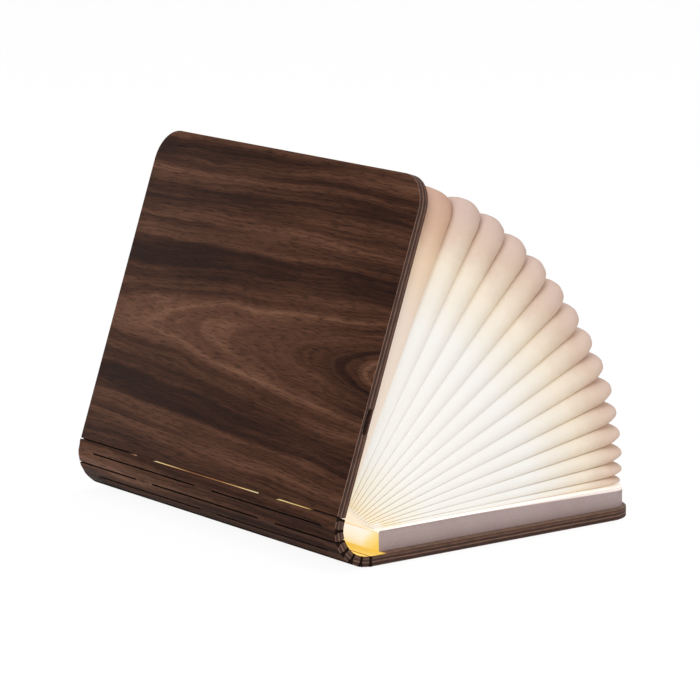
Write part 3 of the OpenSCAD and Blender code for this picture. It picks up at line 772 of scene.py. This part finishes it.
# the share of the corner's turn at which a fold stands out most
deepest_at = 0.62
for k in range(1, pleats + 1):
    lower_wall = crease_point(k - 1, 1, 0) - crease_point(k - 1, 0, 0)
    upper_wall = crease_point(k, 1, 0) - crease_point(k, 0, 0)
    page = (lower_wall + upper_wall).normalized()
    at_tip = (crease_point(k, 1, tip_radius) - crease_point(k - 1, 1, tip_radius)).length
    # the sheets are all of one size, so the wide folds stand out less; the last one lies close to the cover
    too_wide = max(at_tip - 13 * mm, 0)
    corner_deep = min(0.45 * at_tip + 5.2 * mm, 11.0 * mm) - 0.55 * too_wide
    fore_deep = min(max(9.0 * mm, 8.8 * mm + 0.7 * (at_tip - 11.8 * mm)), 10.3 * mm)
    fore_deep = min(corner_deep, fore_deep) - 0.75 * too_wide
    if k == pleats:
        corner_deep, fore_deep = 5.5 * mm, 3.0 * mm
    shape = bmesh.new()
    bmesh.ops.create_grid(shape, x_segments=around, y_segments=fold_turns, size=0.5)
    share_layer = shape.verts.layers.float.new("turn_share")
    pleat_layer = shape.verts.layers.float_vector.new("pleat")
    crease_layer = shape.verts.layers.float.new("from_crease")
    for v in shape.verts:
        n = round((v.co.x + 0.5) * around) % around
        t = math.pi * round((v.co.y + 0.5) * fold_turns) / fold_turns
        r, extra, y, a, b, turn = way_round[n]
        p, q = crease_point(k - 1, r, extra), crease_point(k, r, extra)
        wide = (q - p).length
        # wide folds stand out square with rounded corners, narrow ones run to a blunt point
        square = 1.0 + (0.3 - 0.68 * min(max((at_tip - 9 * mm) / (9 * mm), 0), 1)) * min(turn * 2, 1)
        side_deep = max(0.30 * wide, 0.7 * mm)
        deep = side_deep + (corner_deep - side_deep) * math.sin(min(turn / deepest_at, 1) * math.pi / 2) ** 2
        deep += (fore_deep - corner_deep) * max(turn - deepest_at, 0) / (1 - deepest_at)
        # a hair's breadth keeps each fold clear of its neighbour's crease
        rim = 0.05 * mm / max(wide, 0.3 * mm)
        f = rim + (1 - 2 * rim) * (1 - math.cos(t)) / 2
        out_by = deep * max(math.sin(t), 0) ** square
        spot = p.lerp(q, f) + out_by * a * page
        v.co = (spot.x, y + out_by * b, spot.z)
        v[share_layer] = f
        # how far out along the fold this point is, for the colours; the root side counts as negative
        run = r * (tip_x - tip_radius + box_side) + extra + out_by * abs(a)
        reached = run / (tip_x + box_side + fore_deep) - (0.2 if a < 0 else 0.0)
        v[pleat_layer] = (reached, f, k / pleats)
        v[crease_layer] = math.hypot(min(f, 1 - f) * wide, out_by) / mm
    bmesh.ops.remove_doubles(shape, verts=shape.verts, dist=1e-7)
    bmesh.ops.recalc_face_normals(shape, faces=shape.faces)
    mesh = bpy.data.meshes.new("paper_fold_%02d" % k)
    shape.to_mesh(mesh)
    shape.free()
    mesh.shade_smooth()
    mesh.materials.append(paper)
    piece = add_piece("paper_fold_%02d" % k, mesh, "fan_paper", "lobe_%02d" % k)
    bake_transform(piece, book_body[k - 1], book_body[k], (0, 0, 0), (0, 0, 0.001))
    take_shares(mesh)

# The parts inside, bought in and much the same in every lamp of this kind: a foil battery, boards,
# rows of light chips, wires, magnets, the sensor that feels the cover open,
# and the steel charging socket with its small board.
def part_finish(name, dark, light, grain, rough, metal=0.0, bump=0.15, spec=0.5, glow=0.0):
    finish, tree, shader = new_finish(name)
    spots = mottle(tree, stretched(tree, object_place(tree), grain), 1.0, 4.0, 0.6)
    tree.links.new(shades(tree, spots, ((0.35, dark), (0.65, light))), shader.inputs["Base Color"])
    shader.inputs["Roughness"].default_value = rough
    shader.inputs["Metallic"].default_value = metal
    shader.inputs["Specular IOR Level"].default_value = spec
    if glow:
        shader.inputs["Emission Color"].default_value = (1.0, 0.86, 0.55, 1)
        shader.inputs["Emission Strength"].default_value = glow
    roughened(tree, shader, spots, bump, 0.0001)
    return finish


part_finishes = {name: part_finish(name, *rest) for name, *rest in (
    ("battery_foil", (0.42, 0.43, 0.45), (0.60, 0.61, 0.63), (300, 900, 300), 0.38, 0.85, 0.3),
    ("green_board", (0.008, 0.075, 0.035), (0.015, 0.12, 0.055), (700, 700, 700), 0.35),
    ("black_case", (0.010, 0.010, 0.011), (0.025, 0.025, 0.027), (1500, 1500, 1500), 0.5),
    ("white_strip", (0.72, 0.72, 0.69), (0.82, 0.82, 0.79), (900, 900, 900), 0.5),
    ("red_wire", (0.40, 0.012, 0.012), (0.52, 0.020, 0.018), (1200, 1200, 1200), 0.45),
    ("white_wire", (0.62, 0.61, 0.57), (0.74, 0.73, 0.69), (1200, 1200, 1200), 0.45),
    ("pressed_steel", (0.55, 0.55, 0.56), (0.78, 0.78, 0.79), (500, 2500, 500), 0.22, 1.0, 0.1),
    ("plated_magnet", (0.52, 0.52, 0.54), (0.68, 0.68, 0.70), (900, 900, 900), 0.28, 1.0, 0.1),
    ("white_card", (0.72, 0.66, 0.58), (0.82, 0.77, 0.70), (350, 350, 350), 0.75, 0.0, 0.2, 0.2),
    ("chip_glow", (0.85, 0.70, 0.30), (0.95, 0.82, 0.42), (900, 900, 900), 0.4, 0.0, 0.15, 0.5, 1.5),
)}

for node, name, body, slot, finish, ease in (
    ("battery", "foil_battery", "lower_cover", "cell_wrap", "battery_foil", 0.25),
    ("battery_lead", "battery_wires", "lower_cover", "lead_red", "red_wire", 0),
    ("control_board", "control_board_parts", "lower_cover", "circuit", "green_board", 0.1),
    ("opening_sensor", "opening_feeler", "lower_cover", "sensor_body", "black_case", 0.1),
    ("led_strip", "chip_strips", "lower_cover", "strip_board", "white_strip", 0.1),
    ("led_chips", "light_chips", "lower_cover", "light_chip", "chip_glow", 0.15),
    ("led_lead", "strip_wires", "lower_cover", "lead_white", "white_wire", 0),
    ("charge_board", "charging_board", "front_cover", "circuit", "green_board", 0.08),
    ("charge_socket", "charging_socket", "front_cover", "socket_steel", "pressed_steel", 0.08),
    ("front_card", "inner_card", "front_cover", "inner_card", "white_card", 0.1),
    ("front_magnets", "cover_magnets", "front_cover", "magnet", "plated_magnet", 0.15),
    ("back_magnets", "base_magnets", "lower_cover", "magnet", "plated_magnet", 0.15),
    ("sensor_magnet", "feeler_magnet", "front_cover", "magnet", "plated_magnet", 0.15),
):
    if ease:
        mesh = eased_copy(node, name, ease * mm, 40)
    else:
        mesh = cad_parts[node].data.copy()
        mesh.name = name
        mesh.shade_smooth()
        mesh.materials.clear()
    mesh.materials.append(part_finishes[finish])
    piece = add_piece(name, mesh, slot, node)
    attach(piece, body)

# The notch strip: a slip of dark fibre that closes the notch in the near edge of the front cover.
# It lies behind the socket, flush with the inner face of the board.
shape = bmesh.new()
bmesh.ops.create_cube(shape, size=1)
bmesh.ops.scale(shape, vec=(13.4 * mm, 3.2 * mm, 0.7 * mm), verts=shape.verts)
bmesh.ops.bevel(
    shape, geom=shape.edges[:], offset=0.12 * mm, offset_type="OFFSET", segments=2, profile=0.5,
    affect="EDGES", material=-1,
)
bmesh.ops.rotate(shape, verts=shape.verts, cent=(0, 0, 0), matrix=Matrix.Rotation(-open_angle, 3, "Y"))
along, outward = lean_of(7)
middle = line_point(6) + 46 * mm * along - (board / 2 - 0.4 * mm) * outward
bmesh.ops.translate(shape, vec=(middle.x, -half_length + 1.75 * mm, middle.z), verts=shape.verts)
mesh = bpy.data.meshes.new("notch_strip")
shape.to_mesh(mesh)
shape.free()
dark_fibre = part_finish("dark_fibre", (0.050, 0.020, 0.013), (0.11, 0.050, 0.032), (900, 900, 900), 0.6)
mesh.materials.append(dark_fibre)
piece = add_piece("notch_strip", mesh, "plywood")
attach(piece, "front_cover")

# The flat lead: thin flexible circuit taped over the inside of the spine, from the box to the charging board.
# It is drawn in flat lengths on the strips and short bends at the fold lines, so that it follows the book.
flat_lead = part_finish("flat_lead", (0.42, 0.20, 0.035), (0.55, 0.28, 0.055), (40, 2200, 2200), 0.35)
lead_wide, lead_thick, lead_y = 6 * mm, 0.3 * mm, 31 * mm
clear_of_line = 0.7 * mm
box_edge, channel_start, channel_end, channel_rise = -21.5 * mm, 5 * mm, 50 * mm, -0.35 * mm


def lead_length(name, ends, y_middle=lead_y, wide=lead_wide, shares=(0.0, 0.0)):
    # a flat length between two stations, each the top and the under point of the lead in the XZ plane
    shape = bmesh.new()
    layer = shape.verts.layers.float.new("turn_share")
    loop = []
    for end, share in ((ends[0], shares[0]), (ends[1][::-1], shares[1])):
        for p in end:
            v = shape.verts.new((p.x, y_middle - wide / 2, p.z))
            v[layer] = share
            loop.append(v)
    face = shape.faces.new(loop)
    grown = bmesh.ops.extrude_face_region(shape, geom=[face])
    fresh = [g for g in grown["geom"] if isinstance(g, bmesh.types.BMVert)]
    bmesh.ops.translate(shape, vec=(0, wide, 0), verts=fresh)
    bmesh.ops.recalc_face_normals(shape, faces=shape.faces)
    mesh = bpy.data.meshes.new(name)
    shape.to_mesh(mesh)
    shape.free()
    mesh.materials.append(flat_lead)
    return add_piece(name, mesh, "flat_lead", "spine_ribbon")


def lead_station(i, which, s, rise=0.12 * mm):
    # the lead over board number which, s along it from fold line i
    along, outward = lean_of(which)
    foot = line_point(i) + s * along
    return [foot - (board / 2 + r) * outward for r in (rise, rise + lead_thick)]


piece = lead_length("lead_on_base", [lead_station(0, 0, box_edge), lead_station(0, 0, -clear_of_line)])
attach(piece, "lower_cover")
piece = lead_length("lead_in_box", [lead_station(0, 0, -31 * mm, 1.85 * mm), lead_station(0, 0, box_edge)])
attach(piece, "lower_cover")
for i in range(1, 7):
    ends = [lead_station(i - 1, i, clear_of_line), lead_station(i, i, -clear_of_line)]
    piece = lead_length("lead_on_strip_%d" % i, ends)
    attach(piece, "strip_%d" % i)
piece = lead_length("lead_on_cover", [lead_station(6, 7, clear_of_line), lead_station(6, 7, channel_start)])
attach(piece, "front_cover")
turn_off = lead_station(6, 7, channel_end, channel_rise)
piece = lead_length("lead_in_channel", [lead_station(6, 7, channel_start), turn_off])
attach(piece, "front_cover")
# from there it runs along the spine to the charging board
board_y = -78 * mm
piece = lead_length(
    "lead_to_socket", [lead_station(6, 7, channel_end - lead_wide, channel_rise), turn_off],
    (lead_y + board_y) / 2 - 1.5 * mm, 106 * mm,
)
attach(piece, "front_cover")
for i in range(7):
    first, last = lead_station(i, i, -clear_of_line), lead_station(i, i + 1, clear_of_line)
    for k, f0, f1 in turns_at(i):
        ends = [[a.lerp(b, f) for a, b in zip(first, last)] for f in (f0, f1)]
        piece = lead_length("lead_bend_%02d" % k, ends, shares=(0.0, 1.0))
        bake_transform(piece, book_body[k - 1], book_body[k], (0, 0, 0), (0, 0, 0.001))
        take_shares(piece.data)
